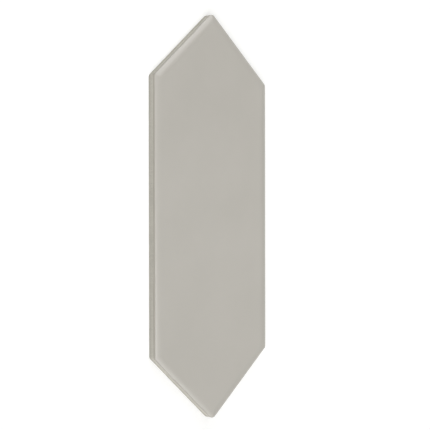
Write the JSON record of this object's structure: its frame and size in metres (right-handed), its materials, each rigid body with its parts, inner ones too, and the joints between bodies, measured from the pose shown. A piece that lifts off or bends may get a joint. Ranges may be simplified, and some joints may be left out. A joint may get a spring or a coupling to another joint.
{
  "type": "picket wall tile",
  "caption": "Long hexagonal picket tile in a glossy warm grey glaze, with cushioned edges, a pointed top and bottom, and a grooved back for the adhesive bed.",
  "frame": {"origin": "middle of the back, on the plane of its ribs and border, where the tile lies on a floor", "axes": "+X across the width, +Y along the length towards one point, +Z out of the glazed face"},
  "size_m": [0.1, 0.3, 0.009],
  "materials": {
    "glazed_tile": "gloss"
  },
  "bodies": {
    "root": {"picket_tile": "glazed_tile"}
  },
  "joints": []
}
